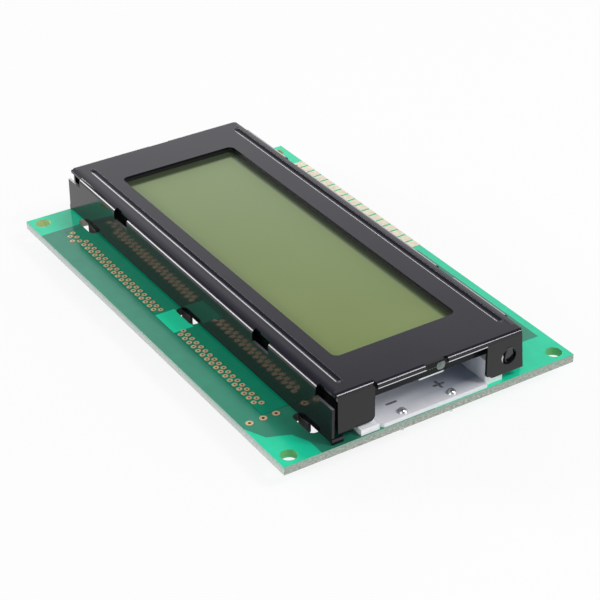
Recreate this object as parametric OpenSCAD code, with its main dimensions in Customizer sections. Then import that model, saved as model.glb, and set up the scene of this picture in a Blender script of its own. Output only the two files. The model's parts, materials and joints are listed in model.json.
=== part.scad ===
// Character LCD module: a glass cell under a folded black bezel, an LED
// backlight and driver chips on a circuit board. Millimetres, +Z up.
// The X axis runs along the board, the terminal end is at +X and the
// header pads lie along the +Y edge. The chips under the board touch z = 0.

/* [Board] */
// Length of the circuit board
board_length = 98; // [98:0.5:110]
// Width of the circuit board
board_width = 60; // [60:0.5:70]
// Thickness of the circuit board
board_thickness = 1.6; // [1.0:0.1:2.4]
// Distance from a board edge to the centre of a mounting hole
hole_inset = 2.5; // [2.4:0.1:3.0]
// Radius of a mounting hole
hole_radius = 1.5; // [1.1:0.05:1.6]

/* [Bezel] */
// Length of the bezel over its end walls
bezel_length = 97.25; // [96.5:0.25:97.5]
// Width of the bezel at its long folds
bezel_width = 39.55; // [39.5:0.05:40.5]
// Height of the bezel's face above the board
bezel_height = 9.2; // [9.0:0.1:12.0]
// Thickness of the folded sheet
sheet = 0.5; // [0.4:0.05:0.5]
// Length of the viewing window
window_length = 77; // [60:0.5:80]
// Width of the viewing window
window_width = 25.2; // [18:0.2:26]
// Corner radius of the viewing window
window_corner = 1.3; // [0.5:0.1:3.0]
// Outer radius of the long folds
fold_radius = 0.9; // [0.7:0.05:1.2]
// Outward lean of the long walls, in degrees
wall_splay = 1.2; // [0:0.1:1.5]
// Length of each notch in the long folds
notch_length = 5.2; // [3:0.1:10]
// Distance from the middle to the centre of a fold notch
notch_place = 25.85; // [18:0.25:30]
// Depth of the two pressed grooves in the face
groove_depth = 0.25; // [0.1:0.01:0.25]
// Width of the two pressed grooves
groove_width = 1.3; // [1.0:0.1:2.0]
// Pitch of the twisted lugs along a long wall
lug_pitch = 40.1; // [34:0.1:41]
// Width of a twisted lug
lug_width = 3.2; // [2.4:0.1:3.4]
// Twist of a lug below the board, in degrees
lug_twist = 40; // [0:5:45]

/* [Display] */
// Length of the glass cell
glass_length = 93; // [88:0.5:93.5]
// Width of the wider front glass
glass_width = 36.8; // [36.0:0.1:37.0]
// Thickness of each glass
glass_thickness = 1.1; // [0.7:0.05:1.1]

/* [Backlight] */
// Length of the open terminal recess at the +X end
recess_length = 7.2; // [5:0.2:14]
// Width of the terminal recess
recess_width = 22.2; // [18:0.2:22.6]
// Spacing of the two backlight terminals
terminal_pitch = 10.15; // [7.5:0.05:14]
// Number of light emitting chips in each of two rows
led_count = 10; // [4:1:12]

/* [Connections] */
// Number of header pads
header_count = 17; // [4:1:18]
// Number of vias in a long inner row
via_count = 18; // [6:1:18]

/* [Rear parts] */
// Height of the chips below the board
rear_height = 2.8; // [2.2:0.1:4.0]
// Length of a driver chip's body
chip_length = 20; // [16:0.5:21]
// Width of a driver chip's body
chip_width = 14; // [12:0.5:16]

/* [Hidden] */
deck = rear_height + board_thickness;
overlap = 0.01;
through = 1;

bezel_x = -0.28;
bezel_y = -0.33;
face = deck + bezel_height;
half_length = bezel_length / 2;
half_width = bezel_width / 2;
window_x = -0.09;
window_y = -0.16;
wall_foot = deck + 0.35;
crown_radius = 8;
crown_turn = 9;
end_fold = 0.8;
notch_bite = 0.85;
notch_floor = deck + bezel_height - 2.45;
relief_start = 43.45;
relief_floor = deck + bezel_height - 2.25;
wall_end_gap = 0.15;
tab_inner = 11.2;
tab_outer = half_width - 1.25;
tab_foot = deck + 1.55;
tab_corner = 1.0;
flange_foot = face - 1.15;
flange_notch_low = -1.55;
flange_notch_high = 3.05;
foot_height = 1.1;
foot_width = 2.1;
groove_flat = 0.4;
groove_length = 2 * (half_length - 3.9);
lance_y = 15.85;
lance_z = deck + 4.75;
lance_radius = 1.55;
tongue_width = 1.3;
tongue_length = 2.35;
tongue_tilt = 17;
lug_offset = -0.1;
lug_below = 2.2;
twist_steps = 6;
twist_drop = 0.9;
lug_line = half_width + 0.12;

cell_x = -0.15;
cell_y = 0.25;
spacer_thickness = 0.65;
film = 0.15;
spacer_bottom = face - sheet - spacer_thickness;
glass_top = spacer_bottom - film;
front_bottom = glass_top - glass_thickness;
seal_gap = 0.1;
plug_y = 2.5;
tab_low = -1.8;
tab_high = 3.3;
rear_top = front_bottom - seal_gap;
rear_bottom = rear_top - glass_thickness;
ledge = 3.7;
rear_glass_width = glass_width - 2 * ledge;
seal_width = 1.6;
sheet_thickness = 0.4;
spacer_margin = 3.5;
spacer_lap = 0.6;
polariser_margin = 3;
rear_margin = 2;
film_lap = 0.3;
seal_margin = 0.5;
housing_top = rear_bottom - film - sheet_thickness;
zebra_inset = 0.7;
zebra_gap = 0.8;
zebra_width = ledge - zebra_inset - zebra_gap;
zebra_offset = glass_width / 2 - zebra_inset - zebra_width / 2;
zebra_length = glass_length - 2 * spacer_margin;

housing_left = -47.4;
housing_right = 47.7;
housing_lap = 0.1;
housing_half = rear_glass_width / 2 + housing_lap;
diffuser_inset = 0.3;
diffuser_left = 1.5;
diffuser_right = 2.2;
diffuser_tab = 1.0;
cavity_margin = 1.8;
light_board = 0.8;
led_row = 5.4;
led_length = 3.2;
led_width = 1.6;
led_height = 0.8;
light_board_right = 48.85;
light_board_left = -45.2;
board_chamfer = 0.9;
terminal_x = 47.55;
terminal_y = -0.7;
pin_radius = 0.4;
pin_below = 1.3;
pin_stand = 0.45;
dome_radius = 0.95;
dome_height = 0.7;

slot_length = 6.4;
slot_width = 2.0;
slot_pitch = lug_pitch + 0.3;
slot_offset = 0.38;
slot_line = half_width + 0.33;

header_pitch = 2.54;
header_end = 1.44;
header_inset = 2.5;
header_bore = 0.5;
header_barrel = 0.65;
header_pad_width = 2.1;
header_pad_reach = 4.6;
copper = 0.05;

via_pitch = 1.6;
via_bore = 0.18;
via_barrel = 0.28;
via_pad = 0.525;
via_sides = 12;
via_row_inner = -23.55;
via_row_outer = -24.6;
via_right_start = 4.15;
via_left_start = -4.5;
stray_vias = [[-35.05, -23.57], [-35.89, -24.6], [-36.67, -25.8], [-37.6, -24.36],
    [-38.57, -25.35], [-39.5, -24.3]];
ground_vias = [[35.39, -23.11], [35.39, -25.64], [35.39, -28.33]];
ground_pad = 0.7;

chip_gap = 0.1;
chip_y = 1.5;
controller_x = -28;
driver_a_x = 3;
driver_b_x = 33;
chip_chamfer = 0.5;
lead_thickness = 0.16;
lead_out = 1.9;
lead_foot = 0.8;
controller_pitch = 0.8;
controller_lead = 0.34;
driver_pitch = 1.0;
driver_lead = 0.4;
chip_row_x = -31.2;
chip_row_y = -14.5;
chip_row_pitch = 5.2;
resistor_count = 7;
capacitor_count = 5;
part_length = 2.0;
part_width = 1.25;
resistor_height = 0.55;
capacitor_height = 0.9;
cap_length = 0.4;

// A box from its low corner to its high corner
module span(low, high) {
    translate(low)
        cube(high - low);
}

// Half section of a folded sheet, filled down to the foot: a crowned
// shoulder, a tight fold and a wall leaning out by the splay
module fold_region(half, top, foot, radius, crown, turn, splay, inset) {
    start = half - radius - (crown - radius) * sin(turn);
    crown_centre = [start, top - crown];
    fold_centre = crown_centre + (crown - radius) * [sin(turn), cos(turn)];
    crown_end = crown_centre + (crown - inset) * [sin(turn), cos(turn)];
    wall_top = fold_centre + (radius - inset) * [cos(splay), sin(splay)];
    wall_bottom = wall_top + (wall_top[1] - foot) * [tan(splay), -1];
    reach = 2 * radius;
    polygon([[-overlap, foot], [-overlap, top - inset], [start, top - inset], crown_end,
        wall_top, wall_bottom]);
    if (turn > 0) {
        intersection() {
            translate(crown_centre)
                circle(crown - inset, $fn = 96);
            polygon([crown_centre + [0, (crown - inset) / 2], crown_centre + [0, crown],
                crown_centre + crown * 1.1 * [sin(turn), cos(turn)],
                crown_centre + (crown - inset) / 2 * [sin(turn), cos(turn)]]);
        }
    }
    intersection() {
        translate(fold_centre)
            circle(radius - inset, $fn = 48);
        polygon([fold_centre, fold_centre + reach * [sin(turn), cos(turn)],
            fold_centre + reach * [1, 1],
            fold_centre + reach * [cos(splay), sin(splay)]]);
    }
}

// Full section of the sheet, both walls
module fold_section(half, top, foot, radius, crown, turn, splay) {
    difference() {
        for (side = [0, 1])
            mirror([side, 0])
                fold_region(half, top, foot, radius, crown, turn, splay, 0);
        for (side = [0, 1])
            mirror([side, 0])
                fold_region(half, top, foot - 1, radius, crown, turn, splay, sheet);
    }
}

// Plate and long walls, extruded along the bezel
module long_shell(half_run) {
    rotate([90, 0, 90])
        linear_extrude(2 * half_run, center = true)
            fold_section(half_width, face, wall_foot, fold_radius, crown_radius,
                crown_turn, wall_splay);
}

// One end wall's section carried across the bezel
module end_shell(low, high) {
    translate([0, high, 0])
        rotate([90, 0, 0])
            linear_extrude(high - low)
                difference() {
                    fold_region(half_length, face, deck, end_fold, end_fold, 0, 0, 0);
                    fold_region(half_length, face, deck - 1, end_fold, end_fold, 0, 0,
                        sheet);
                    translate([-1, 0])
                        square([half_length - end_fold, 2 * face]);
                }
}

// A tab of an end wall with one rounded lower corner
module end_tab(low, high, round_low) {
    corner = round_low ? low : high;
    inward = round_low ? 1 : -1;
    difference() {
        end_shell(low, high);
        span([0, low - 1, 0], [half_length + 1, high + 1, tab_foot]);
        difference() {
            span([half_length - 3, min(corner, corner + inward * tab_corner), tab_foot - 1],
                [half_length + 1, max(corner, corner + inward * tab_corner),
                tab_foot + tab_corner]);
            translate([half_length - 4, corner + inward * tab_corner,
                tab_foot + tab_corner])
                rotate([0, 90, 0])
                    cylinder(r = tab_corner, h = 6, $fn = 32);
        }
    }
}

// Tongue cut from a round hole in a tab, pushed in towards the glass
module lanced_tab(low, high) {
    difference() {
        end_tab(low, high, true);
        translate([half_length - 2, lance_y, lance_z])
            rotate([0, 90, 0])
                cylinder(r = lance_radius, h = 4, $fn = 48);
    }
    translate([half_length, lance_y + 0.15, lance_z + lance_radius])
        rotate([0, tongue_tilt, 0])
            span([-sheet, -tongue_width / 2, -tongue_length],
                [0, tongue_width / 2, 0.3]);
}

// Both tabs, the short flange between them and its central notch
module end_wall() {
    end_tab(-tab_outer, -tab_inner, false);
    lanced_tab(tab_inner, tab_outer);
    difference() {
        end_shell(-tab_inner, tab_inner);
        span([0, -tab_inner - 1, 0], [half_length + 1, tab_inner + 1, flange_foot]);
        span([half_length - end_fold - overlap, flange_notch_low, 0],
            [half_length + 1, flange_notch_high, face + 1]);
    }
}

// Low end of a long wall, turned round the corner as a foot
module wall_corner() {
    difference() {
        rotate([90, 0, 90])
            linear_extrude(half_length - wall_end_gap)
                fold_section(half_width, face, wall_foot, fold_radius, crown_radius,
                    crown_turn, wall_splay);
        span([-1, -half_width - 1, 0], [relief_start - 1, half_width + 1, face + 1]);
        span([-1, -half_width - 1, relief_floor],
            [half_length + 1, half_width + 1, face + 1]);
    }
    for (side = [-1, 1])
        mirror_side(side)
            span([half_length - sheet, half_width - foot_width, deck],
                [half_length, half_width + 0.17, deck + foot_height]);
}

// Mirror across the long centre plane for side -1
module mirror_side(side) {
    mirror([0, side < 0 ? 1 : 0, 0])
        children();
}

// Pressed groove: a flat-bottomed channel with round ends
module groove_form(depth, spread, lift) {
    top = groove_width / 2 + spread;
    bottom = groove_flat / 2 + spread;
    translate([0, 0, lift])
        rotate([90, 0, 90])
            linear_extrude(groove_length, center = true)
                polygon([[-top, overlap], [-bottom, -depth], [bottom, -depth], [top, overlap]]);
    for (end = [-1, 1])
        translate([end * groove_length / 2, 0, lift])
            rotate_extrude($fn = 48)
                polygon([[0, overlap], [0, -depth], [bottom, -depth], [top, overlap]]);
}

// A lug through the board, twisted below it in small steps
module lug(outer) {
    below = rear_height - lug_below;
    twist_top = rear_height - 0.15;
    span([-lug_width / 2, outer - sheet, twist_top], [lug_width / 2, outer, wall_foot + 0.6]);
    for (step = [1:twist_steps])
        translate([0, outer - sheet / 2, twist_top - step * twist_drop / twist_steps])
            rotate([0, 0, lug_twist * step / twist_steps])
                span([-lug_width / 2, -sheet / 2, 0],
                    [lug_width / 2, sheet / 2, twist_drop / twist_steps + overlap]);
    translate([0, outer - sheet / 2, below])
        rotate([0, 0, lug_twist])
            span([-lug_width / 2, -sheet / 2, 0],
                [lug_width / 2, sheet / 2, twist_top - twist_drop - below + overlap]);
}

// Window with rounded corners, cut down from the face
module window_cut() {
    x = window_length / 2;
    y = window_width / 2;
    r = window_corner;
    translate([window_x, window_y, spacer_bottom - 1])
        linear_extrude(face - spacer_bottom + 2)
            union() {
                square([2 * x, 2 * (y - r)], center = true);
                square([2 * (x - r), 2 * y], center = true);
                for (i = [-1, 1])
                    for (j = [-1, 1])
                        translate([i * (x - r), j * (y - r)])
                            circle(r, $fn = 32);
            }
}

module bezel() {
    plate_half = half_length - end_fold;
    color("#26262a")
        translate([bezel_x, bezel_y, 0]) {
            difference() {
                union() {
                    long_shell(plate_half + overlap);
                    for (line = [-1, 1])
                        translate([0, cell_y - bezel_y + line * zebra_offset, 0])
                            intersection() {
                                groove_form(groove_depth, 0, face - sheet);
                                span([-half_length, -half_width, deck],
                                    [half_length, half_width, face - sheet + overlap / 2]);
                            }
                }
                window_cut();
                for (line = [-1, 1])
                    translate([0, cell_y - bezel_y + line * zebra_offset, 0])
                        groove_form(groove_depth, 0, face);
                for (side = [-1, 1])
                    for (place = [-notch_place, notch_place])
                        mirror_side(side)
                            span([place - notch_length / 2, half_width - notch_bite,
                                notch_floor],
                                [place + notch_length / 2, half_width + 1, face + 1]);
                for (side = [-1, 1])
                    for (end = [0, 1])
                        mirror([end, 0, 0])
                            mirror_side(side)
                                span([relief_start, half_width - notch_bite, relief_floor],
                                    [half_length + 1, half_width + 1, face + 1]);
            }
            for (end = [0, 1])
                mirror([end, 0, 0]) {
                    wall_corner();
                    end_wall();
                }
            for (side = [-1, 1])
                for (place = [-1:1])
                    translate([lug_offset + place * lug_pitch, 0, 0])
                        mirror_side(side)
                            lug(lug_line);
        }
}

// A flat sheet of the cell, centred on the cell
module cell_sheet(length, width, low, high) {
    translate([cell_x, cell_y, (low + high) / 2])
        cube([length, width, high - low], center = true);
}

// Black frame between the face and the polariser, flush with the window
module spacer_frame() {
    color("#161618")
        difference() {
            cell_sheet(glass_length - 2 * spacer_margin, rear_glass_width + 2 * spacer_lap,
                spacer_bottom, face - sheet);
            translate([bezel_x, bezel_y, 0])
                window_cut();
        }
}

module front_polariser() {
    color("#8c9a72")
        cell_sheet(glass_length - 2 * polariser_margin, rear_glass_width + 2 * film_lap,
            glass_top, spacer_bottom);
}

module front_glass() {
    color("#9fb08c")
        cell_sheet(glass_length, glass_width, front_bottom, glass_top);
}

module perimeter_seal() {
    length = glass_length - 2 * seal_margin;
    width = rear_glass_width - 2 * film_lap;
    color("#c8cdb8")
        difference() {
            cell_sheet(length, width, rear_top, front_bottom);
            cell_sheet(length - 2 * seal_width, width - 2 * seal_width, rear_top - through,
                front_bottom + through);
        }
}

module fill_port_plug() {
    edge = cell_x + glass_length / 2;
    color("#c9d0c2")
        translate([edge, plug_y, rear_top + seal_gap / 2])
            intersection() {
                translate([-0.9, 0, 0])
                    sphere(1.8, $fn = 48);
                span([0, -1.25, -0.75], [1.4, 1.25, 0.75]);
            }
}

module rear_glass() {
    color("#93a580")
        cell_sheet(glass_length, rear_glass_width, rear_bottom, rear_top);
}

module rear_polariser() {
    color("#7f8f5f")
        cell_sheet(glass_length - 2 * rear_margin, rear_glass_width - 2 * film_lap,
            rear_bottom - film, rear_bottom);
}

// One rubber connector strip between the board and the front glass
module zebra(side) {
    color("#3d3f45")
        translate([cell_x, cell_y + side * zebra_offset, (deck + front_bottom) / 2])
            cube([zebra_length, zebra_width, front_bottom - deck], center = true);
}

module zebra_strip_front() {
    zebra(-1);
}

module zebra_strip_back() {
    zebra(1);
}

module diffuser_sheet() {
    color("#eef0ea") {
        span([housing_left + diffuser_left, -housing_half + diffuser_inset, housing_top],
            [housing_right - diffuser_right, housing_half - diffuser_inset,
                housing_top + sheet_thickness]);
        span([housing_right - diffuser_right - overlap, tab_low, housing_top],
            [housing_right - diffuser_tab, tab_high, housing_top + sheet_thickness]);
    }
}

module backlight_housing() {
    inner = housing_right - recess_length;
    cavity_half = recess_width / 2;
    color("#f2f2f0")
        difference() {
            span([housing_left, -housing_half, deck], [housing_right, housing_half, housing_top]);
            span([inner, -cavity_half, deck - 1], [housing_right + 1, cavity_half, housing_top + 1]);
            span([housing_left + cavity_margin, -cavity_half, deck - 1],
                [inner - cavity_margin, cavity_half, housing_top + 1]);
            span([inner - cavity_margin - 1, -cavity_half, deck - 1],
                [inner + 1, cavity_half, deck + light_board]);
        }
}

module backlight_board() {
    half = recess_width / 2;
    color("#f6f6f4")
        difference() {
            translate([0, 0, deck])
                linear_extrude(light_board)
                    polygon([[light_board_left, -half],
                        [light_board_right - board_chamfer, -half],
                        [light_board_right, -half + board_chamfer],
                        [light_board_right, half], [light_board_left, half]]);
            for (side = [-1, 1])
                translate([terminal_x, terminal_y + side * terminal_pitch / 2, deck - through])
                    cylinder(r = pin_radius, h = light_board + 2 * through, $fn = 24);
        }
}

module led_chips() {
    run = housing_right - recess_length - housing_left - 2 * cavity_margin;
    middle = (housing_right - recess_length + housing_left) / 2;
    color("#fff3c4")
        for (i = [0:led_count - 1])
            for (side = [-1, 1])
                translate([middle + run * ((i + 0.5) / led_count - 0.5), side * led_row,
                    deck + light_board + led_height / 2])
                    cube([led_length, led_width, led_height], center = true);
}

// A wire pin through the backlight board and the circuit board
module terminal_pin(side) {
    color("#c9cacc")
        translate([terminal_x, terminal_y + side * terminal_pitch / 2,
            rear_height - pin_below])
            cylinder(r = pin_radius, h = pin_below + board_thickness + light_board + pin_stand,
                $fn = 24);
}

module cathode_pin() {
    terminal_pin(-1);
}

module anode_pin() {
    terminal_pin(1);
}

// Solder domes over the pins and fillets under the board
module terminal_solder() {
    ball = (dome_radius * dome_radius + dome_height * dome_height) / (2 * dome_height);
    color("#d6d7da")
        for (side = [-1, 1])
            translate([terminal_x, terminal_y + side * terminal_pitch / 2, 0]) {
                difference() {
                    intersection() {
                        translate([0, 0, deck + light_board + dome_height - ball])
                            sphere(ball, $fn = 48);
                        translate([0, 0, deck + light_board])
                            cylinder(r = 2 * dome_radius, h = 2, $fn = 32);
                    }
                    translate([0, 0, deck])
                        cylinder(r = pin_radius, h = light_board + pin_stand, $fn = 24);
                }
                difference() {
                    translate([0, 0, rear_height - 0.8])
                        cylinder(r1 = pin_radius + 0.15, r2 = dome_radius, h = 0.8,
                            $fn = 32);
                    translate([0, 0, rear_height - 2])
                        cylinder(r = pin_radius, h = 3, $fn = 24);
                }
            }
}

// Places of the vias right of the middle: two staggered rows
function right_vias() = concat(
    [for (i = [0:via_count - 1]) [via_right_start + via_pitch * i, via_row_inner]],
    [for (i = [0:via_count - 2]) [via_right_start + via_pitch * (i + 0.5), via_row_outer]]);

// Places of the vias left of the middle, with the stray ones at the end
function left_vias() = concat(
    [for (i = [0:via_count]) [via_left_start - via_pitch * i, via_row_inner]],
    [for (i = [0:via_count]) [via_left_start - via_pitch * (i + 0.5), via_row_outer]],
    via_count == 18 ? [for (place = stray_vias) place] : []);

// Plated holes: a pad on each face joined by a barrel
module plated(places, pad, barrel, bore) {
    for (place = places)
        translate([place[0], place[1], 0])
            difference() {
                union() {
                    translate([0, 0, deck])
                        cylinder(r = pad, h = copper, $fn = 24);
                    translate([0, 0, rear_height])
                        cylinder(r = barrel, h = board_thickness, $fn = via_sides);
                    translate([0, 0, rear_height - copper])
                        cylinder(r = pad, h = copper, $fn = 24);
                }
                translate([0, 0, rear_height - through])
                    cylinder(r = bore, h = board_thickness + 2 * through, $fn = via_sides);
            }
}

module vias_left() {
    color("#d9b36c")
        plated(left_vias(), via_pad, via_barrel, via_bore);
}

module vias_right() {
    color("#d9b36c")
        plated(right_vias(), via_pad, via_barrel, via_bore);
}

module ground_vias_group() {
    color("#d9b36c")
        plated(ground_vias, ground_pad, 0.4, 0.28);
}

// Header pads that reach the board edge, each with a plated hole
module header_pads() {
    edge = board_width / 2;
    color("#e6d29a")
        for (i = [0:header_count - 1])
            translate([header_end - i * header_pitch, 0, 0])
                difference() {
                    union() {
                        for (low = [deck, rear_height - copper]) {
                            span([-header_pad_width / 2, edge - header_pad_reach, low],
                                [header_pad_width / 2, edge, low + copper]);
                            translate([0, edge - header_pad_reach, low])
                                cylinder(r = header_pad_width / 2, h = copper, $fn = 32);
                        }
                        translate([0, edge - header_inset, rear_height])
                            cylinder(r = header_barrel, h = board_thickness, $fn = 32);
                    }
                    translate([0, edge - header_inset, rear_height - through])
                        cylinder(r = header_bore, h = board_thickness + 2 * through, $fn = 32);
                }
}

// Slot for one twisted lug
module lug_slot() {
    run = (slot_length - slot_width) / 2;
    for (end = [-1, 1])
        translate([end * run, 0, rear_height - through])
            cylinder(r = slot_width / 2, h = board_thickness + 2 * through, $fn = 32);
    span([-run, -slot_width / 2, rear_height - through],
        [run, slot_width / 2, deck + 1]);
}

module pcb() {
    edge = board_width / 2;
    color("#2f9e72")
        difference() {
            span([-board_length / 2, -edge, rear_height], [board_length / 2, edge, deck]);
            for (i = [-1, 1])
                for (j = [-1, 1])
                    translate([i * (board_length / 2 - hole_inset), j * (edge - hole_inset),
                        rear_height - through])
                        cylinder(r = hole_radius, h = board_thickness + 2 * through, $fn = 48);
            for (side = [-1, 1])
                for (place = [-1:1])
                    translate([bezel_x + slot_offset + place * slot_pitch,
                        bezel_y + side * slot_line, 0])
                        lug_slot();
            for (place = concat(left_vias(), right_vias()))
                translate([place[0], place[1], rear_height - through])
                    cylinder(r = via_barrel, h = board_thickness + 2 * through, $fn = via_sides);
            for (place = ground_vias)
                translate([place[0], place[1], rear_height - through])
                    cylinder(r = 0.4, h = board_thickness + 2 * through, $fn = via_sides);
            for (i = [0:header_count - 1])
                translate([header_end - i * header_pitch, edge - header_inset,
                    rear_height - through])
                    cylinder(r = header_barrel, h = board_thickness + 2 * through, $fn = 32);
            for (side = [-1, 1])
                translate([terminal_x, terminal_y + side * terminal_pitch / 2,
                    rear_height - through])
                    cylinder(r = pin_radius, h = board_thickness + 2 * through, $fn = 24);
        }
}

// Body of a chip under the board, with cut corners
module chip_body(x) {
    l = chip_length / 2;
    w = chip_width / 2;
    c = chip_chamfer;
    color("#1d1d1f")
        translate([x, chip_y, 0])
            linear_extrude(rear_height - chip_gap)
                polygon([[-l + c, -w], [l - c, -w], [l, -w + c], [l, w - c], [l - c, w],
                    [-l + c, w], [-l, w - c], [-l, -w + c]]);
}

// Gull-wing leads along all four sides of a chip
module chip_leads(x, pitch, width) {
    l = chip_length / 2;
    w = chip_width / 2;
    long_count = floor((chip_length - 1.4) / pitch);
    short_count = floor((chip_width - 1.4) / pitch);
    color("#c4c6c8")
        translate([x, chip_y, 0]) {
            for (turn = [0, 180])
                rotate([0, 0, turn]) {
                    for (i = [0:long_count - 1])
                        translate([(i - (long_count - 1) / 2) * pitch, w, 0])
                            lead(width);
                    for (i = [0:short_count - 1])
                        translate([l, (i - (short_count - 1) / 2) * pitch, 0])
                            rotate([0, 0, -90])
                                lead(width);
                }
        }
}

// One lead, standing out along +Y from the body's side
module lead(width) {
    t = lead_thickness;
    middle = rear_height / 2;
    top = rear_height;
    knee = lead_out - lead_foot;
    translate([width / 2, 0, 0])
        rotate([90, 0, -90])
            linear_extrude(width)
                mirror([1, 0])
                    polygon([[0, middle], [knee - 0.2, middle], [knee + t, top - t],
                        [lead_out, top - t], [lead_out, top], [knee, top],
                        [knee - 0.35, middle + t], [0, middle + t]]);
}

module controller_chip() {
    chip_body(controller_x);
}

module controller_leads() {
    chip_leads(controller_x, controller_pitch, controller_lead);
}

module driver_chip_a() {
    chip_body(driver_a_x);
}

module driver_leads_a() {
    chip_leads(driver_a_x, driver_pitch, driver_lead);
}

module driver_chip_b() {
    chip_body(driver_b_x);
}

module driver_leads_b() {
    chip_leads(driver_b_x, driver_pitch, driver_lead);
}

// Place of a small part in the row below the chips
module row_place(i) {
    translate([chip_row_x + i * chip_row_pitch, chip_row_y, 0])
        children();
}

module chip_resistors() {
    body = part_length / 2 - cap_length;
    color("#2b2b2d")
        for (i = [0:resistor_count - 1])
            row_place(i)
                span([-body, -part_width / 2, rear_height - resistor_height],
                    [body, part_width / 2, rear_height]);
}

module chip_capacitors() {
    body = part_length / 2 - cap_length;
    color("#b59a72")
        for (i = [resistor_count:resistor_count + capacitor_count - 1])
            row_place(i)
                span([-body, -part_width / 2, rear_height - capacitor_height],
                    [body, part_width / 2, rear_height]);
}

module chip_end_caps() {
    body = part_length / 2 - cap_length;
    color("#cfd0d2")
        for (i = [0:resistor_count + capacitor_count - 1])
            row_place(i)
                for (end = [0, 1])
                    mirror([end, 0, 0])
                        span([body, -part_width / 2,
                            rear_height - (i < resistor_count ? resistor_height
                            : capacitor_height)],
                            [body + cap_length, part_width / 2, rear_height]);
}

bezel();
spacer_frame();
front_polariser();
front_glass();
perimeter_seal();
fill_port_plug();
rear_glass();
rear_polariser();
zebra_strip_front();
zebra_strip_back();
diffuser_sheet();
backlight_housing();
backlight_board();
led_chips();
cathode_pin();
anode_pin();
terminal_solder();
pcb();
vias_left();
vias_right();
ground_vias_group();
header_pads();
controller_chip();
controller_leads();
driver_chip_a();
driver_leads_a();
driver_chip_b();
driver_leads_b();
chip_resistors();
chip_capacitors();
chip_end_caps();
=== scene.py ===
import json
import math

import bmesh
import bpy
from mathutils import Matrix, Vector


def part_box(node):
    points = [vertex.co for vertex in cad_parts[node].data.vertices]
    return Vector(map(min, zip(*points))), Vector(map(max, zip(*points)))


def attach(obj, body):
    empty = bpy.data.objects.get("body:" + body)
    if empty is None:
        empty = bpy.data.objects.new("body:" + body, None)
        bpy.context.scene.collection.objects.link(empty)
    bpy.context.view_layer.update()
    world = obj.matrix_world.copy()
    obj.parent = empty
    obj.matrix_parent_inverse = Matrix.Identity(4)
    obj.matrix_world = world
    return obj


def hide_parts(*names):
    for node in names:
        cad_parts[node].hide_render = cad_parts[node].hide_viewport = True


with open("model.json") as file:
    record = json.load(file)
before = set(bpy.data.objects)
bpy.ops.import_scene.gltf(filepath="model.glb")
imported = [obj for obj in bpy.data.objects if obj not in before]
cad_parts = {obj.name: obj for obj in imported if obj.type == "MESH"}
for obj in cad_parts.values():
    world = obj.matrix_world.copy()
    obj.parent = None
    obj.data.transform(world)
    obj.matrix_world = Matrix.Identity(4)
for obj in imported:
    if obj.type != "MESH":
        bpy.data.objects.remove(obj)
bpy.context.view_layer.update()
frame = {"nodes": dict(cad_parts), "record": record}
MM = 0.001
scene = bpy.context.scene


def middle(node_name, axis):
    """Middle of a node's box along an axis, in millimetres of the row frame."""
    low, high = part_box(node_name)
    return (low[axis] + high[axis]) / 2 / MM


def top(node_name):
    """Height of a node's top, in millimetres of the row frame."""
    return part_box(node_name)[1][2] / MM


BEZEL_X, BEZEL_Y = middle("bezel", 0), middle("bezel", 1)
screw_holes = frame["record"]["mounts"][0]["dims"]
HOLE_X, HOLE_Y = screw_holes["spacing_x_mm"] / 2, screw_holes["spacing_y_mm"] / 2


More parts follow.
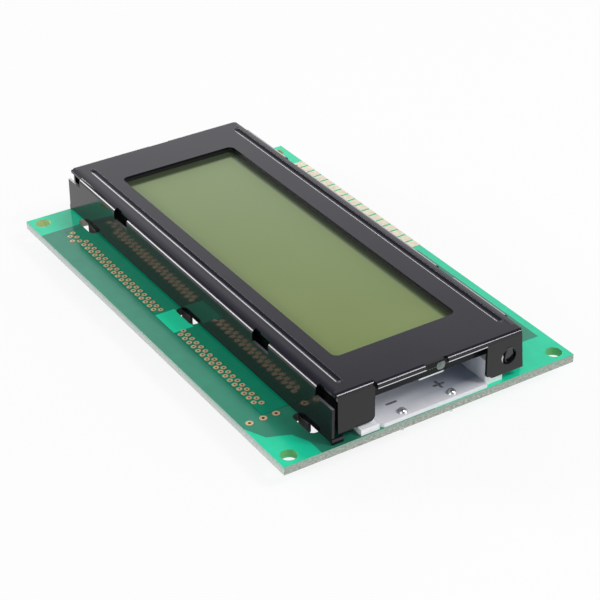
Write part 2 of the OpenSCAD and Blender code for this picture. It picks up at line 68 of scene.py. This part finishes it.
# ---------------------------------------------------------------- node helpers
class Tree:
    """A small writer for node materials, in millimetres of the row frame."""

    def __init__(self, name):
        self.material = bpy.data.materials.new(name)
        self.material.use_nodes = True
        self.tree = self.material.node_tree
        self.tree.nodes.clear()
        self.out = self.tree.nodes.new("ShaderNodeOutputMaterial")
        self.shader = self.tree.nodes.new("ShaderNodeBsdfPrincipled")
        self.tree.links.new(self.shader.outputs[0], self.out.inputs["Surface"])
        where = self.tree.nodes.new("ShaderNodeTexCoord")
        scale = self.tree.nodes.new("ShaderNodeVectorMath")
        scale.operation = "SCALE"
        scale.inputs["Scale"].default_value = 1.0 / MM
        self.tree.links.new(where.outputs["Object"], scale.inputs[0])
        self.place = scale.outputs[0]
        split = self.tree.nodes.new("ShaderNodeSeparateXYZ")
        self.tree.links.new(self.place, split.inputs[0])
        self.x, self.y, self.z = split.outputs
        geo = self.tree.nodes.new("ShaderNodeNewGeometry")
        side = self.tree.nodes.new("ShaderNodeSeparateXYZ")
        self.tree.links.new(geo.outputs["True Normal"], side.inputs[0])
        self.nx, _, self.nz = side.outputs

    def put(self, socket, value):
        """Link another node's output, or set a plain number or colour."""
        if isinstance(value, bpy.types.NodeSocket):
            self.tree.links.new(value, socket)
        elif isinstance(value, tuple) and len(value) == 3 and socket.type == "RGBA":
            socket.default_value = (*value, 1.0)
        else:
            socket.default_value = value

    def math(self, operation, a, b=0.0):
        node = self.tree.nodes.new("ShaderNodeMath")
        node.operation = operation
        self.put(node.inputs[0], a)
        self.put(node.inputs[1], b)
        return node.outputs[0]

    def absolute(self, value):
        return self.math("ABSOLUTE", value)

    def distance(self, a, b):
        """Length of the slanted side over the two square ones a and b."""
        squares = self.math("ADD", self.times(a, a), self.times(b, b))
        return self.math("SQRT", squares)

    def step(self, value, low, high):
        """0 at low, 1 at high, straight between them; high may be the lesser."""
        node = self.tree.nodes.new("ShaderNodeMapRange")
        node.clamp = True
        self.put(node.inputs["Value"], value)
        node.inputs["From Min"].default_value = low
        node.inputs["From Max"].default_value = high
        return node.outputs[0]

    def wave(self, pitch):
        """A sine along x."""
        return self.math("SINE", self.math("MULTIPLY", self.x, 2 * math.pi / pitch))

    def line(self, a, b):
        """Signed distance from the line through a and b, positive to its left."""
        dx, dy = b[0] - a[0], b[1] - a[1]
        run = math.hypot(dx, dy)
        left = self.math("MULTIPLY", self.x, -dy / run)
        up = self.math("MULTIPLY", self.y, dx / run)
        return self.math("ADD", self.math("ADD", left, up), (a[0] * dy - a[1] * dx) / run)

    def area(self, left, right, front, back):
        """Signed distance inside a rectangle's sides, seen from above."""
        return self.all_of(
            self.above(self.x, left), self.below(self.x, right),
            self.above(self.y, front), self.below(self.y, back),
        )

    def all_of(self, *values):
        out = values[0]
        for value in values[1:]:
            out = self.math("MINIMUM", out, value)
        return out

    def any_of(self, *values):
        out = values[0]
        for value in values[1:]:
            out = self.math("MAXIMUM", out, value)
        return out

    def above(self, value, limit):
        return self.math("SUBTRACT", value, limit)

    def below(self, value, limit):
        return self.math("SUBTRACT", limit, value)

    def times(self, *values):
        out = values[0]
        for value in values[1:]:
            out = self.math("MULTIPLY", out, value)
        return out

    def mix(self, share, a, b):
        node = self.tree.nodes.new("ShaderNodeMix")
        node.data_type = "RGBA"
        self.put(node.inputs[0], share)
        self.put(node.inputs[6], a)
        self.put(node.inputs[7], b)
        return node.outputs[2]

    def mix_number(self, share, a, b):
        node = self.tree.nodes.new("ShaderNodeMix")
        self.put(node.inputs[0], share)
        self.put(node.inputs[2], a)
        self.put(node.inputs[3], b)
        return node.outputs[0]

    def noise(self, scale, detail=2.0, stretch=None):
        node = self.tree.nodes.new("ShaderNodeTexNoise")
        node.inputs["Scale"].default_value = scale
        node.inputs["Detail"].default_value = detail
        place = self.place
        if stretch:
            bend = self.tree.nodes.new("ShaderNodeVectorMath")
            bend.operation = "MULTIPLY"
            self.tree.links.new(place, bend.inputs[0])
            bend.inputs[1].default_value = stretch
            place = bend.outputs[0]
        self.tree.links.new(place, node.inputs["Vector"])
        return node.outputs["Fac"]

    def bump(self, height, strength, distance):
        node = self.tree.nodes.new("ShaderNodeBump")
        node.inputs["Strength"].default_value = strength
        node.inputs["Distance"].default_value = distance * MM
        self.put(node.inputs["Height"], height)
        self.tree.links.new(node.outputs[0], self.shader.inputs["Normal"])

    def finish(self, colour, rough, metal=0.0, ior=1.5):
        self.put(self.shader.inputs["Base Color"], colour)
        self.put(self.shader.inputs["Roughness"], rough)
        self.put(self.shader.inputs["Metallic"], metal)
        self.shader.inputs["IOR"].default_value = ior
        return self.material


def mottled(tree, colour, share=0.06, scale=0.35):
    """The colour with a faint cloud over it."""
    dark = tuple(c * (1.0 - share) for c in colour)
    light = tuple(min(1.0, c * (1.0 + share)) for c in colour)
    return tree.mix(tree.step(tree.noise(scale, 3.0), 0.3, 0.7), dark, light)


# ------------------------------------------------------------------- materials
def groove_shoulders(t, across):
    """Height of the soft shoulders beside the two pressed grooves."""
    groove_lines = (-16.02, 17.18)
    # where the round end starts, reach of the slope, its inner edge, its height
    slopes = ((44.3, 0.60, 0.08, -0.16), (44.725, 0.65, 0.2, 0.25))
    along = t.absolute(t.above(t.x, BEZEL_X))
    height = 0.0
    for groove in groove_lines:
        off = t.above(across, groove)
        for end, outer, inner, rise in slopes:
            past = t.math("MAXIMUM", t.above(along, end), 0.0)
            slope = t.step(t.distance(off, past), outer, inner)
            height = t.math("ADD", height, t.math("MULTIPLY", slope, rise))
    face = t.step(t.z, 13.25, 13.3)
    return t.times(height, face)


def bezel_black():
    """Black lacquer with painted shade on the walls and lugs, dull on the lugs, and bare metal at two
    cut edges that is partly a painted highlight.
    """
    t = Tree("bezel_black")
    across = t.above(t.y, BEZEL_Y)
    half_y = t.absolute(across)
    standing = t.step(t.absolute(t.nz), 0.5, 0.3)
    low = t.step(t.z, 4.6, 4.2)
    lacquer = mottled(t, (0.0098, 0.0087, 0.0170), 0.12, 0.12)
    # painted shade: the walls, and the lugs below them, get a darker lacquer than the top
    lacquer = t.mix(standing, lacquer, (0.0032, 0.0032, 0.0040))
    lacquer = t.mix(low, lacquer, (0.0015, 0.0012, 0.0014))
    wall_edge = t.times(
        t.step(t.nz, 0.85, 0.97), t.step(half_y, 18.75, 18.95),
        t.step(t.z, 10.9, 11.1), t.step(t.z, 11.6, 11.45),
    )
    flange_edge = t.times(
        t.step(t.z, 12.84, 12.78), t.step(t.z, 12.5, 12.55),
        t.step(t.x, 48.7, 48.75), t.step(half_y, 11.25, 11.15),
    )
    # bare metal at the wall's top cut edge and the flange's lower edge, partly real and partly a painted
    # highlight line
    bare = t.any_of(wall_edge, flange_edge)
    colour = t.mix(bare, lacquer, (0.72, 0.72, 0.75))
    gloss = t.mix_number(t.step(t.noise(0.5, 2.0), 0.3, 0.7), 0.10, 0.14)
    rough = t.mix_number(bare, gloss, 0.32)
    rough = t.mix_number(low, rough, 0.75)
    grain = t.math("MULTIPLY", t.noise(2.6, 1.0), 0.0012)
    t.bump(t.math("ADD", groove_shoulders(t, across), grain), 1.0, 1.0)
    return t.finish(colour, rough, t.math("MULTIPLY", bare, 0.85), 1.46)


def printed_side(t):
    """The mask's colour over bare board, copper pours and tracks, its painted shade by the bezel's
    corner, and its relief.
    """
    left, front, back = -42.1, -25.3, 28.5
    slant = [(36.96, -29.65), (40.31, -28.11), (41.97, -24.2), (45.3, -22.7)]
    soft = 0.06
    past_slant = t.any_of(
        t.line(slant[1], slant[2]), t.line(slant[2], slant[3]), t.above(t.y, slant[3][1])
    )
    pour_front = t.all_of(
        t.above(t.x, left), t.line(slant[0], slant[1]), past_slant, t.below(t.y, 0.0)
    )
    pour_back = t.area(3.9, 40.9, 0.0, back)
    pour_middle = t.area(left, 42.0, -21.5, 21.5)
    patch = t.area(-3.4, 3.8, front, -21.3)
    tracks = t.area(-40.6, 34.5, front, 0.0)
    bare = mottled(t, (0.014, 0.76, 0.43), 0.05)
    pour = mottled(t, (0.032, 0.295, 0.185), 0.05)
    track = mottled(t, (0.003, 0.345, 0.190), 0.05)
    fan = t.times(t.step(t.wave(0.8), 0.2, 0.6), t.step(t.y, -22.7, -22.3), 0.3)
    track = t.mix(fan, track, (0.006, 0.42, 0.24))
    pours = t.any_of(pour_front, pour_back, pour_middle)
    inner = t.all_of(tracks, pours)
    colour = t.mix(t.step(pours, -soft, soft), bare, pour)
    colour = t.mix(t.step(inner, -soft, soft), colour, track)
    seam = t.step(t.absolute(inner), 0.16, 0.08)
    colour = t.mix(t.times(seam, 0.5), colour, (0.004, 0.10, 0.06))
    colour = t.mix(t.step(patch, -soft, soft), colour, (0.016, 0.95, 0.52))
    # painted shade and dark reflection of the bezel: the mask is darker round its +X, -Y corner
    corner_shade = t.times(
        t.step(t.x, 36.0, 44.0), t.step(t.y, -28.5, -20.5), t.step(t.y, -11.0, -12.5), 0.45
    )
    colour = t.mix(corner_shade, colour, (0.0, 0.03, 0.02))
    return colour, t.step(t.any_of(pours, inner), -0.15, 0.15)


def board_core(t):
    """Glass-fibre core at the cut edges, hole walls and slot walls, with painted light and shade on the
    hole and slot walls.
    """
    half_x, half_y = t.absolute(t.x), t.absolute(t.y)
    grain = t.noise(1.9, 4.0, (1.0, 1.0, 2.2))
    speck = t.noise(3.4, 3.0, (1.0, 1.0, 1.6))
    end = t.mix(t.step(grain, 0.35, 0.65), (0.24, 0.27, 0.23), (0.50, 0.52, 0.48))
    side = t.mix(t.step(grain, 0.3, 0.7), (0.40, 0.46, 0.43), (0.62, 0.62, 0.60))
    core = t.mix(t.step(t.absolute(t.nx), 0.4, 0.6), side, end)
    skin = t.step(t.z, 3.55, 4.1)
    core = t.mix(t.times(skin, 0.55), core, (0.22, 0.42, 0.32))
    core = t.mix(t.times(t.step(speck, 0.62, 0.7), 0.6), core, (0.13, 0.11, 0.11))
    inside = t.times(t.step(half_x, 48.9, 48.8), t.step(half_y, 29.9, 29.8))
    # painted light and shade: hole walls lighter at the -X end, darker towards +X
    hole_wall_shade = t.mix(t.step(t.x, -30.0, 0.0), (0.56, 0.66, 0.30), (0.15, 0.52, 0.20))
    core = t.mix(inside, core, hole_wall_shade)
    from_hole = t.distance(t.above(half_x, HOLE_X), t.above(half_y, HOLE_Y))
    slot = t.times(inside, t.step(from_hole, 2.2, 2.6))
    # painted shade: slot walls dark, light only at the -X end's slot
    slot_wall_shade = t.mix(t.step(t.x, -30.0, -20.0), (0.80, 0.72, 0.66), (0.06, 0.09, 0.08))
    return t.mix(slot, core, slot_wall_shade)


def solder_mask():
    t = Tree("solder_mask")
    standing = t.step(t.absolute(t.nz), 0.55, 0.45)
    printed, relief = printed_side(t)
    t.bump(relief, 0.3, 0.03)
    return t.finish(t.mix(standing, printed, board_core(t)), t.mix_number(standing, 0.13, 0.7))


def polariser():
    """Olive film, yellower towards +X and -Y, with painted shade by the window's edge."""
    t = Tree("polariser")
    along = t.step(t.math("SUBTRACT", t.x, t.math("MULTIPLY", t.y, 1.1)), -48.0, 44.0)
    colour = t.mix(along, (0.202, 0.280, 0.112), (0.166, 0.226, 0.052))
    cloud = t.step(t.noise(0.05, 3.0), 0.35, 0.65)
    colour = t.mix(t.times(cloud, 0.35), colour, (0.202, 0.268, 0.082))
    # painted shade along the window's four edges
    edge_shade = t.any_of(
        t.step(t.x, -36.3, -36.9), t.step(t.y, 10.3, 10.9),
        t.step(t.x, 36.6, 37.2), t.step(t.y, -12.2, -12.7),
    )
    colour = t.mix(t.times(edge_shade, 0.8), colour, (0.030, 0.042, 0.028))
    t.bump(t.noise(5.0, 1.0), 0.04, 0.01)
    return t.finish(colour, 0.22)


def cell_glass():
    t = Tree("cell_glass")
    # painted shade: the glass's edge faces are near black
    glass_edge_shade = t.step(t.absolute(t.nz), 0.6, 0.4)
    face = mottled(t, (0.30, 0.36, 0.24), 0.04)
    colour = t.mix(glass_edge_shade, face, (0.006, 0.008, 0.011))
    return t.finish(colour, t.mix_number(glass_edge_shade, 0.06, 0.25), 0.0, 1.25)


def seal():
    t = Tree("seal")
    return t.finish(mottled(t, (0.22, 0.27, 0.25), 0.25, 1.2), 0.2)


def spacer_black():
    t = Tree("spacer_black")
    return t.finish(mottled(t, (0.004, 0.004, 0.005), 0.2), 0.6)


def zebra_rubber():
    t = Tree("zebra_rubber")
    layer = t.step(t.wave(0.36), -0.3, 0.3)
    return t.finish(t.mix(layer, (0.045, 0.048, 0.055), (0.012, 0.012, 0.014)), 0.7)


def diffuser():
    t = Tree("diffuser")
    return t.finish(mottled(t, (0.86, 0.87, 0.86), 0.02), 0.5)


def white_housing():
    """White plastic with painted shade, greyer the deeper it lies in the terminal recess."""
    t = Tree("white_housing")
    t.bump(t.noise(3.0, 2.0), 0.04, 0.02)
    # painted shade in the terminal recess
    recess_shade = t.times(
        t.step(t.x, 50.0, 45.5), t.step(t.x, 38.0, 39.0), t.step(t.absolute(t.y), 11.4, 11.2)
    )
    plastic = mottled(t, (0.88, 0.89, 0.92), 0.02)
    return t.finish(t.mix(t.times(recess_shade, 0.75), plastic, (0.26, 0.30, 0.38)), 0.42)


def white_board():
    """White mask with painted shade, greyer the deeper it lies in the recess and towards its +Y side."""
    t = Tree("white_board")
    # painted shade in the recess, deepest at its back and +Y side
    recess_shade = t.times(t.step(t.x, 49.6, 45.8), t.step(t.y, -16.0, 9.0))
    mask = mottled(t, (0.92, 0.91, 0.95), 0.03, 0.5)
    return t.finish(t.mix(t.times(recess_shade, 0.9), mask, (0.10, 0.13, 0.19)), 0.32)


def led_resin():
    t = Tree("led_resin")
    return t.finish(mottled(t, (0.85, 0.74, 0.36), 0.1, 1.5), 0.3)


def tin():
    t = Tree("tin")
    t.bump(t.noise(2.2, 3.0), 0.15, 0.05)
    return t.finish(mottled(t, (0.74, 0.75, 0.77), 0.1, 1.4), 0.2, 1.0)


def gilt(name, ring, hole_wall, metal):
    t = Tree(name)
    standing = t.step(t.absolute(t.nz), 0.6, 0.4)
    colour = t.mix(standing, mottled(t, ring, 0.12, 1.1), hole_wall)
    return t.finish(colour, 0.38, metal)


def chip_resin():
    t = Tree("chip_resin")
    t.bump(t.noise(9.0, 2.0), 0.25, 0.02)
    return t.finish(mottled(t, (0.018, 0.018, 0.02), 0.2, 0.6), 0.55)


def tan_ceramic():
    t = Tree("tan_ceramic")
    return t.finish(mottled(t, (0.36, 0.25, 0.14), 0.1, 1.0), 0.5)


finishes = {
    "bezel_black": bezel_black(),
    "spacer_black": spacer_black(),
    "polariser": polariser(),
    "cell_glass": cell_glass(),
    "seal": seal(),
    "zebra_rubber": zebra_rubber(),
    "diffuser": diffuser(),
    "white_housing": white_housing(),
    "white_board": white_board(),
    "led_resin": led_resin(),
    "tin": tin(),
    "solder_mask": solder_mask(),
    "gilt_copper": gilt("gilt_copper", (0.90, 0.68, 0.40), (0.40, 0.09, 0.03), 0.3),
    "pad_tin": gilt("pad_tin", (0.92, 0.82, 0.62), (0.60, 0.42, 0.22), 0.25),
    "chip_resin": chip_resin(),
    "tan_ceramic": tan_ceramic(),
}
for part in frame["record"]["subparts"]:
    node = frame["nodes"][part["node"]]
    for place in node.material_slots:
        place.material = finishes[part["material_slot"]]


# ------------------------------------- pieces set over from the plain CAD shape
STILL = (0.0, 0.0, 0.0)


def reshaped(name, node_name, move, cut_way=None, cuts=()):
    """A copy that stands for a node, its points moved by move(x, y, z) in mm.

    Two cuts across cut_way first split off a narrow strip, so that what lies on
    one side of it can move without the other.
    """
    weld, touch = 0.002 * MM, 0.001 * MM
    source = frame["nodes"][node_name]
    work = bmesh.new()
    work.from_mesh(source.data)
    bmesh.ops.remove_doubles(work, verts=work.verts, dist=weld)
    for cut in cuts:
        whole = work.verts[:] + work.edges[:] + work.faces[:]
        bmesh.ops.bisect_plane(
            work, geom=whole, dist=touch, plane_co=cut_way * cut * MM, plane_no=cut_way
        )
    for vert in work.verts:
        vert.co += Vector(move(*(vert.co / MM))) * MM
    if cuts:
        low, high = cuts
        for face in work.faces:
            if low < face.calc_center_median().dot(cut_way) / MM < high:
                face.smooth = False
    mesh = bpy.data.meshes.new(name)
    work.to_mesh(mesh)
    work.free()
    mesh.materials.clear()
    mesh.materials.append(source.material_slots[0].material)
    piece = bpy.data.objects.new(name, mesh)
    scene.collection.objects.link(piece)
    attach(piece, "root")
    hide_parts(node_name)


def bezel_set(x, y, z):
    """Moves of the +X end's tabs and flange, of two corners and of the lugs."""
    foot, tab_step = 5.7, -11.5
    off_middle = abs(y - BEZEL_Y)
    wall_foot = x > 47.0 and y > 17.2 and z < foot
    wall_end = x > 47.0 and y > 18.75 and z < 11.45
    tongue_tip = 47.0 < x < 47.8 and 14.9 < y < 16.6 and 8.3 < z < 8.8
    end_sheet = x > 47.5 and z > foot
    flange_edge = off_middle < 11.25 and 12.4 < z < 12.5
    plus_tab_side = y > 11.0 and z < 12.6 and not 13.5 < y < 17.2
    far_corner = x < -43.0 and -19.4 < y < -19.1 and z > 11.2
    lug = abs(x) < 46.0 and off_middle > 18.9 and z < 5.45

    end_out = 0.5
    if wall_foot or wall_end:
        return -1.3, 0.0, 0.0
    if tongue_tip:
        return end_out, 1.0 if y > 16.0 else 0.0, -1.5
    if end_sheet and tab_step < y < 19.0:
        return end_out, 0.5 if plus_tab_side else 0.0, 0.2 if flange_edge else 0.0
    if end_sheet and -18.95 < y < tab_step:
        return -0.4, 0.0, 0.0
    if far_corner:
        return 0.0, -0.45, -0.13 if z > 13.0 else 0.0
    if lug:
        reach = 1.75
        for place, shift in ((-40.48, 1.15), (-0.38, -0.6), (39.72, -0.35)):
            if abs(x - place) < reach:
                return shift, 0.0, 0.0
    return STILL


def housing_set(x, y, z):
    """Moves of the two feet at the +X end, the -Y one only below its tab."""
    foot_top = 5.6
    if x > 47.6 and y < -11.0:
        return (1.05 if z < foot_top else -0.35), 0.0, 0.0
    if x > 47.6 and y > 11.0:
        return 0.45, 0.0, 0.0
    return STILL


def board_set(x, y, z):
    """The slots' inner sides lie further in under the bezel's long walls."""
    slot_line, half_length, half_width, stretch = 20.105, 3.4, 1.05, 0.95
    for side in (-1, 1):
        past = side * (y - BEZEL_Y) - slot_line
        for place in (-40.3, 0.1, 40.5):
            if abs(x - place) < half_length and -half_width < past < -0.02:
                return 0.0, side * past * stretch, 0.0
    return STILL


def cell_set(x, y, z):
    """The glasses run further to the +X end."""
    return (0.65, 0.0, 0.0) if x > 44.0 else STILL


reshaped("folded_bezel", "bezel", bezel_set, Vector((0, 1, 0)), (-11.57, -11.49))
reshaped("cell_front", "front_glass", cell_set)
reshaped("cell_rear", "rear_glass", cell_set)
reshaped("light_housing", "backlight_housing", housing_set, Vector((0, 0, 1)), (5.57, 5.63))
reshaped("circuit_board", "pcb", board_set)


# ----------------------------------------------------------------- added pieces
def ink():
    t = Tree("terminal_ink")
    worn = t.step(t.noise(2.5, 3.0), 0.35, 0.6)
    return t.finish(t.mix(worn, (0.16, 0.165, 0.17), (0.06, 0.062, 0.066)), 0.5)


def bar(centre, length, width, turn):
    """Outline of a printed bar with round ends."""
    points = []
    r = width / 2
    steps = 8
    for end, start in ((1, -90), (-1, 90)):
        for i in range(steps + 1):
            a = math.radians(start + i * 180 / steps)
            points.append((end * (length / 2 - r) + r * math.cos(a), r * math.sin(a)))
    c, s = math.cos(turn), math.sin(turn)
    return [(centre[0] + x * c - y * s, centre[1] + x * s + y * c) for x, y in points]


def plus(centre, length, width):
    """Outline of a printed cross with square ends, one arm a quarter turn on."""
    reach, half = length / 2, width / 2
    ring = [(half, reach), (-half, reach), (-half, half)]
    for _ in range(3):
        ring += [(-y, x) for x, y in ring[-3:]]
    return [(centre[0] + x, centre[1] + y) for x, y in ring]


def print_mark(name, outline, surface, material):
    """A thin ink mark let slightly into the surface under it."""
    sunk, proud = 0.01, 0.02
    count = len(outline)
    verts = [(x * MM, y * MM, (surface - sunk) * MM) for x, y in outline]
    verts += [(x * MM, y * MM, (surface + proud) * MM) for x, y in outline]
    faces = [tuple(range(count))[::-1], tuple(range(count, 2 * count))]
    for i in range(count):
        j = (i + 1) % count
        faces.append((i, j, count + j, count + i))
    mesh = bpy.data.meshes.new(name)
    mesh.from_pydata(verts, [], faces)
    mesh.update()
    mesh.materials.append(material)
    piece = bpy.data.objects.new(name, mesh)
    scene.collection.objects.link(piece)
    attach(piece, "root")


mark_size, mark_stroke = 2.3, 0.5
recess_floor = top("backlight_board")
mark_ink = ink()
minus_bar = bar((44.5, -5.9), mark_size, mark_stroke, math.pi / 2)
plus_cross = plus((44.4, 4.0), mark_size, mark_stroke)
print_mark("mark_minus", minus_bar, recess_floor, mark_ink)
print_mark("mark_plus", plus_cross, recess_floor, mark_ink)


# ------------------------------------------------------------------------ stage
def floor():
    """A pale floor that takes shadows and looks near white, also in reflections."""
    half, white_share = 3.0, 0.87
    mesh = bpy.data.meshes.new("floor")
    corners = [(-half, -half, 0), (half, -half, 0), (half, half, 0), (-half, half, 0)]
    mesh.from_pydata(corners, [], [(0, 1, 2, 3)])
    t = Tree("floor")
    t.finish(mottled(t, (0.90, 0.90, 0.90), 0.01, 0.01), 0.8)
    path = t.tree.nodes.new("ShaderNodeLightPath")
    seen = t.any_of(
        path.outputs["Is Camera Ray"], path.outputs["Is Glossy Ray"], path.outputs["Is Transmission Ray"]
    )
    glow = t.tree.nodes.new("ShaderNodeEmission")
    glow.inputs["Color"].default_value = (1.0, 1.0, 1.0, 1.0)
    glow.inputs["Strength"].default_value = 1.0
    blend = t.tree.nodes.new("ShaderNodeMixShader")
    t.put(blend.inputs[0], t.math("MULTIPLY", seen, white_share))
    t.tree.links.new(t.shader.outputs[0], blend.inputs[1])
    t.tree.links.new(glow.outputs[0], blend.inputs[2])
    t.tree.links.new(blend.outputs[0], t.out.inputs["Surface"])
    mesh.materials.append(t.material)
    obj = bpy.data.objects.new("floor", mesh)
    scene.collection.objects.link(obj)
    return obj


floor()


def studio_world():
    """A pale studio: brighter low down and behind, dimmer overhead and in front."""
    # height of a direction, from 0 level to 1 straight up, and its brightness
    stops = [
        (0.0, 0.95), (0.12, 0.90), (0.30, 0.66), (0.44, 0.63),
        (0.52, 0.48), (0.64, 0.11), (0.75, 0.12), (1.0, 0.24),
    ]
    front_way = (0.7071, -0.7071, 0.0)
    fade = {"From Min": -0.1, "From Max": 0.6, "To Min": 1.8, "To Max": 0.7}
    world = bpy.data.worlds.new("studio")
    scene.world = world
    world.use_nodes = True
    tree = world.node_tree
    back = tree.nodes["Background"]
    where = tree.nodes.new("ShaderNodeTexCoord")
    split = tree.nodes.new("ShaderNodeSeparateXYZ")
    tree.links.new(where.outputs["Generated"], split.inputs[0])
    ramp = tree.nodes.new("ShaderNodeValToRGB")
    tree.links.new(split.outputs[2], ramp.inputs[0])
    ramp.color_ramp.elements[0].position = stops[0][0]
    ramp.color_ramp.elements[1].position = stops[-1][0]
    for place, level in stops[1:-1]:
        ramp.color_ramp.elements.new(place)
    for element, (place, level) in zip(ramp.color_ramp.elements, stops):
        element.color = (level, level, level * 1.02, 1.0)
    tree.links.new(ramp.outputs[0], back.inputs["Color"])
    front = tree.nodes.new("ShaderNodeVectorMath")
    front.operation = "DOT_PRODUCT"
    tree.links.new(where.outputs["Generated"], front.inputs[0])
    front.inputs[1].default_value = front_way
    dim = tree.nodes.new("ShaderNodeMapRange")
    tree.links.new(front.outputs["Value"], dim.inputs["Value"])
    for name, value in fade.items():
        dim.inputs[name].default_value = value
    tree.links.new(dim.outputs[0], back.inputs["Strength"])


studio_world()
AIM = Vector((0.0, 0.0, 0.008))


def softbox(name, direction, distance, size, radiance):
    """A square soft light at a distance along a direction, facing the object."""
    data = bpy.data.lights.new(name, "AREA")
    data.shape = "SQUARE"
    data.size = size
    data.energy = radiance * math.pi * size * size
    lamp = bpy.data.objects.new(name, data)
    scene.collection.objects.link(lamp)
    way = Vector(direction).normalized()
    lamp.location = AIM + way * distance
    lamp.rotation_euler = way.to_track_quat("Z", "Y").to_euler()


def strip(name, direction, distance, length, height, radiance):
    """A long low light whose length lies level, facing the object."""
    data = bpy.data.lights.new(name, "AREA")
    data.shape = "RECTANGLE"
    data.size = length
    data.size_y = height
    data.energy = radiance * math.pi * length * height
    lamp = bpy.data.objects.new(name, data)
    scene.collection.objects.link(lamp)
    way = Vector(direction).normalized()
    side = Vector((0, 0, 1)).cross(way).normalized()
    rise = way.cross(side)
    lamp.matrix_world = Matrix((side, rise, way)).transposed().to_4x4()
    lamp.location = AIM + way * distance


strip("left_strip", (-0.7257, -0.61, 0.27), 1.0, 0.40, 0.26, 14.0)
strip("back_strip", (-0.73, 0.67, 0.16), 1.2, 1.2, 0.2, 3.3)
softbox("right_softbox", (0.526, 0.444, 0.726), 0.7, 0.20, 17.0)
softbox("front_softbox", (0.50, -0.72, 0.62), 1.2, 0.9, 0.9)


# ----------------------------------------------------------------------- camera
def camera():
    """A view down on to the +X, -Y corner, aimed by the height of the board's top."""
    azimuth, elevation, roll = (math.radians(a) for a in (58.546, 31.723, -1.212))
    distance, aside, down = 341.088, 2.387, 3.610
    level = math.cos(elevation)
    back = Vector((math.sin(azimuth) * level, -math.cos(azimuth) * level, math.sin(elevation)))
    right = (-back).cross(Vector((0, 0, 1))).normalized()
    up = right.cross(-back)
    c, s = math.cos(roll), math.sin(roll)
    right, up = c * right + s * up, c * up - s * right
    place = (back * distance + right * aside - up * down + Vector((0, 0, top("pcb")))) * MM
    data = bpy.data.cameras.new("camera")
    data.sensor_width = 36.0
    data.lens = 108.7191
    data.shift_x = 0.0085183
    data.shift_y = 0.0046467
    data.clip_start = 0.01
    data.clip_end = 20.0
    obj = bpy.data.objects.new("camera", data)
    scene.collection.objects.link(obj)
    basis = Matrix((right, up, back)).transposed().to_4x4()
    basis.translation = place
    obj.matrix_world = basis
    scene.camera = obj


camera()
scene.view_settings.view_transform = "Standard"
